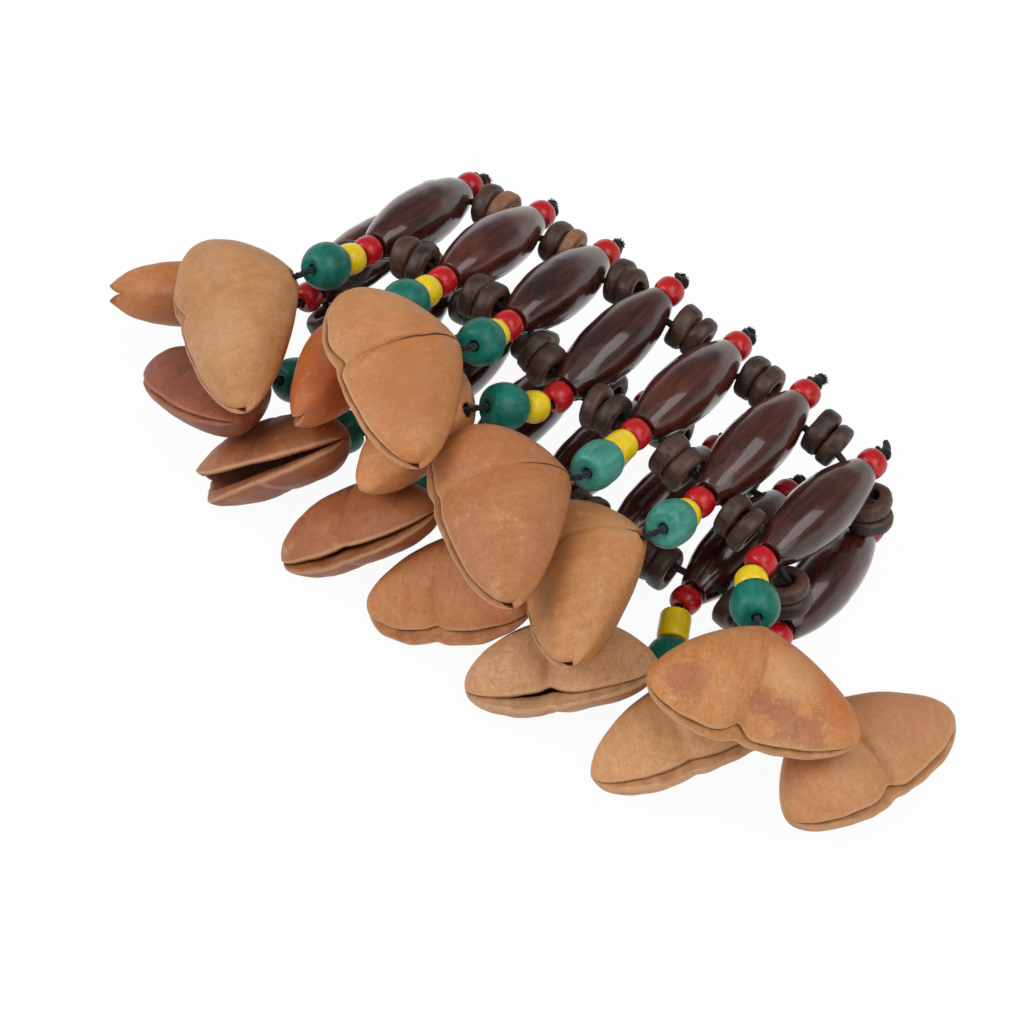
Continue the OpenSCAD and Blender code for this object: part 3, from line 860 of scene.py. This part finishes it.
def makeDiscs(name, node, finish, lightOnes):
    bm, place, lot, worn = startMesh("lot", "worn")
    solids = sorted(solidsOf(node), key=lambda solid: tuple(np.round(solid.mean(0), 6)))
    middles = [boxMiddle(solid) for solid in solids]
    lightMiddles = [nearest(spot, middles) for spot in lightOnes]
    for index, (solid, middle) in enumerate(zip(solids, middles)):
        corners = spinOutline(bm, discOutline(), discSet["steps"])
        draw = random.Random(index * 17 + len(name))
        share, swell, thick = draw.random(), draw.uniform(*discSet["swell"]), draw.uniform(*discSet["thick"])
        roughen(corners, index + len(name), discSet["rough"])
        for corner in corners:
            corner[place] = corner.co
            corner[lot] = share
            corner[worn] = 1.0 if middle in lightMiddles else 0.0
            corner.co.x *= swell
            corner.co.y *= thick
        partner = min((spot for spot in middles if spot != middle), key=lambda spot: (spot - middle).length)
        apart = (middle - partner).normalized() * discSet["apart"] * mm
        lean = [math.radians(draw.uniform(-1, 1) * discSet["tilt"]) for _ in range(3)]
        axis = Euler(lean).to_matrix() @ thinAxis(solid)
        bmesh.ops.transform(bm, matrix=standing(middle + apart, axis), verts=corners)
    finishPiece(name, bm, finish, "band", "coconut", node)


def gapSpot(first, second, side, share):  # a place along the gap between two strands
    reach = crossSet["boreReach"] * mm * side
    a = strands[first]["middle"] + strands[first]["axis"] * reach
    b = strands[second]["middle"] + strands[second]["axis"] * reach
    return a.lerp(b, share)


crossSet = {"boreReach": 12.8, "offset": 1.7, "exit": 4.59, "radius": 0.7, "step": 0.5, "roundness": 3}
coconut = coconutFinish()
lightDiscs = [gapSpot(0, 1, -1, 0.6), gapSpot(1, 2, -1, 0.6)]
makeDiscs("coconutDiscsKnotRow", "coconut_discs_knot_row", coconut, lightDiscs)
makeDiscs("coconutDiscsShellRow", "coconut_discs_shell_row", coconut, [])
print("coconut discs made")


# cords

cordSet = {
    "ply": 0.34, "lay": 0.33, "pitch": 3.4, "step": 0.22, "roundness": 1, "knotReach": 21.3, "inside": 6.0,
    "knot": 1.5, "knotThick": 0.58, "stop": 1.3, "stopThick": 0.55, "knotSteps": 48,
}
tuftSet = {
    "fibres": 380, "length": (0.3, 0.8), "thick": 0.07, "core": 1.0, "curl": 0.12, "reach": (0.7, 1.6),
    "smoothReach": 3.2, "smooth": (7,), "rootBack": 0.6, "steps": 10, "fibrePoints": 4, "wobble": 0.45,
    "lay": 0.6, "ply": 0.55,
}


def spline(curve, points, radii, cyclic=False):
    made = curve.splines.new("POLY")
    made.points.add(len(points) - 1)
    for corner, point, radius in zip(made.points, points, radii):
        corner.co = (*point, 1.0)
        corner.radius = radius
    made.use_cyclic_u = cyclic


def tubeMesh(name, runs, roundness):  # runs of points with radii, swept as round tubes
    curve = bpy.data.curves.new(name, "CURVE")
    curve.dimensions = "3D"
    curve.bevel_depth = 1.0
    curve.bevel_resolution = roundness
    curve.use_fill_caps = True
    for points, radii, cyclic in runs:
        spline(curve, points, radii, cyclic)
    holder = bpy.data.objects.new(name, curve)
    mesh = bpy.data.meshes.new_from_object(holder)
    bpy.data.objects.remove(holder)
    bpy.data.curves.remove(curve)
    return mesh


def rounded(corners, step, cyclic=False):  # a smooth even path through corner points
    count = len(corners)
    fine = []
    last = count if cyclic else count - 1
    for k in range(last):
        if cyclic:
            p0, p1, p2, p3 = (corners[(k + shift) % count] for shift in (-1, 0, 1, 2))
        else:
            p0, p1 = corners[max(k - 1, 0)], corners[k]
            p2, p3 = corners[k + 1], corners[min(k + 2, count - 1)]
        pieces = max(2, int((p2 - p1).length / step))
        for i in range(pieces):
            t = i / pieces
            bend = (p2 - p0) * t + (p0 * 2 - p1 * 5 + p2 * 4 - p3) * t * t
            fine.append(p1 + (bend + (p1 * 3 - p0 - p2 * 3 + p3) * t ** 3) * 0.5)
    return fine if cyclic else fine + [corners[-1].copy()]


def plies(path, lay, pitch, radius):  # three yarns twisted round a path
    side = path[1] - path[0]
    side = side.orthogonal().normalized()
    runs = [[], [], []]
    travel = 0.0
    for k, point in enumerate(path):
        along = (path[min(k + 1, len(path) - 1)] - path[max(k - 1, 0)]).normalized()
        side = (side - along * side.dot(along)).normalized()
        other = along.cross(side)
        if k:
            travel += (point - path[k - 1]).length
        for ply in range(3):
            turn = 2 * math.pi * (travel / pitch + ply / 3)
            runs[ply].append(point + (side * math.cos(turn) + other * math.sin(turn)) * lay)
    return [(run, [radius] * len(run), False) for run in runs]


def knotRun(middle, axis, radius, thick, turn):  # an overhand knot pulled tight
    toWorld = standing(middle, axis) @ Matrix.Rotation(turn, 4, "Y")
    steps = cordSet["knotSteps"]
    points = []
    for k in range(steps):
        t = 2 * math.pi * k / steps
        x, z = math.sin(t) + 2 * math.sin(2 * t), math.cos(t) - 2 * math.cos(2 * t)
        points.append(toWorld @ (Vector((x, -0.9 * math.sin(3 * t), z)) * radius / 3))
    return points, [thick] * steps, True


def tuftRuns(root, axis, smooth, draw):  # the short frayed end of a cord
    side = axis.orthogonal().normalized()
    other = axis.cross(side)
    turn = draw.uniform(0, 2 * math.pi)
    bend = side * math.cos(turn) + other * math.sin(turn)
    reach = tuftSet["smoothReach"] if smooth else draw.uniform(*tuftSet["reach"])
    heading, stub, steps, core = axis.copy(), [root.copy()], tuftSet["steps"], tuftSet["core"] * mm
    for _ in range(steps):
        heading = (heading + bend * tuftSet["curl"] * draw.uniform(0.6, 1.2)).normalized()
        stub.append(stub[-1] + heading * reach * mm / steps)
    if smooth:
        return [(stub, [core * (1.1 - 0.05 * k) for k in range(len(stub))], False)]
    runs = plies(stub, tuftSet["lay"] * core, cordSet["pitch"] * mm, tuftSet["ply"] * core)
    for _ in range(tuftSet["fibres"]):
        share = draw.random() ** 0.6
        base = stub[min(steps, int(share * (steps + 1)))]
        turn, spread = draw.uniform(0, 2 * math.pi), draw.random() ** 0.5
        outward = side * math.cos(turn) + other * math.sin(turn)
        point = base + outward * spread * core
        ahead = (heading * (0.35 + share) + outward * spread * 1.2).normalized()
        length = draw.uniform(*tuftSet["length"]) * mm
        points = []
        for _ in range(tuftSet["fibrePoints"]):
            points.append(point.copy())
            wobble = Vector((draw.uniform(-1, 1), draw.uniform(-1, 1), draw.uniform(-1, 1)))
            ahead = (ahead + wobble * tuftSet["wobble"]).normalized()
            point = point + ahead * length / (tuftSet["fibrePoints"] - 1)
        runs.append((points, [tuftSet["thick"] * mm * (1 - 0.2 * k) for k in range(len(points))], False))
    return runs


def cottonFinish():
    material, wire, shader = newFinish("blackCotton")
    place = wire.node("ShaderNodeTexCoord", None, None, 3)
    fuzz = place.noise(5200, 3, 0.0, 0.7)
    cotton = fuzz.ramp(0.3, 0.75).blend((0.0045, 0.0045, 0.0055), (0.026, 0.026, 0.030))
    plug(shader, Base_Color=cotton, Roughness=0.85 + fuzz * 0.1, Normal=fuzz.bump(0.6, 0.12 * mm))
    plug(shader, Specular_IOR_Level=0.2)
    shader.inputs["Sheen Weight"].default_value = 0.25
    return material


def elasticFinish():
    material, wire, shader = newFinish("coveredElastic")
    place = wire.node("ShaderNodeTexCoord", None, None, 3)
    cover = place.noise(3800, 2, 4.0, 0.6)
    thread = cover.ramp(0.35, 0.7).blend((0.005, 0.005, 0.006), (0.020, 0.020, 0.022))
    plug(shader, Base_Color=thread, Roughness=0.6 + cover * 0.2, Normal=cover.bump(0.5, 0.1 * mm))
    return material


def makeTieCord(strand, finish):
    draw = random.Random(strand["number"] * 101)
    tag, axis, string, pivot = strand["tag"], strand["axis"], strand["string"], strand["pivot"]
    firstBend = meetingPoint(strand["shellRed"], axis, strand["yellow"], string)
    secondBend = meetingPoint(strand["green"], string, pivot, strand["toMouth"])
    knot = strand["middle"] - axis * cordSet["knotReach"] * mm
    inside = pivot + strand["toMouth"] * cordSet["inside"] * mm
    bends = [knot, strand["middle"], firstBend, strand["green"], secondBend, pivot, inside]
    path = rounded(bends, cordSet["step"] * mm)
    runs = plies(path, cordSet["lay"] * mm, cordSet["pitch"] * mm, cordSet["ply"] * mm)
    runs.append(knotRun(knot, axis, cordSet["knot"] * mm, cordSet["knotThick"] * mm, draw.uniform(0, 6)))
    runs.append(knotRun(inside, strand["toMouth"], cordSet["stop"] * mm, cordSet["stopThick"] * mm, 0.0))
    root = knot - axis * tuftSet["rootBack"] * mm
    runs += tuftRuns(root, -axis, strand["number"] in tuftSet["smooth"], draw)
    mesh = tubeMesh(f"tieCord{tag}", runs, cordSet["roundness"])
    finishMesh(f"tieCord{tag}", mesh, finish, "band", "cotton_cord", f"tie_cord_{tag}")


def makeElastic(name, node, side, finish):
    corners = []
    reach = crossSet["boreReach"] * mm * side
    rows = [strand["middle"] + strand["axis"] * reach for strand in strands]
    for k, strand in enumerate(strands):
        cross = (rows[(k + 1) % strandCount] - rows[k - 1]).normalized()
        inward = cross.cross(strand["axis"]).normalized()
        middle = rows[k] + inward * crossSet["offset"] * mm
        corners += [middle - cross * crossSet["exit"] * mm, middle + cross * crossSet["exit"] * mm]
    path = rounded(corners, crossSet["step"] * mm, True)
    radii = [crossSet["radius"] * mm] * len(path)
    mesh = tubeMesh(name, [(path, radii, True)], crossSet["roundness"])
    finishMesh(name, mesh, finish, "band", "elastic_cord", node)


cotton = cottonFinish()
for strand in strands:
    makeTieCord(strand, cotton)
elastic = elasticFinish()
makeElastic("elasticCordKnotRow", "elastic_cord_knot_row", -1, elastic)
makeElastic("elasticCordShellRow", "elastic_cord_shell_row", 1, elastic)
print("cords made")
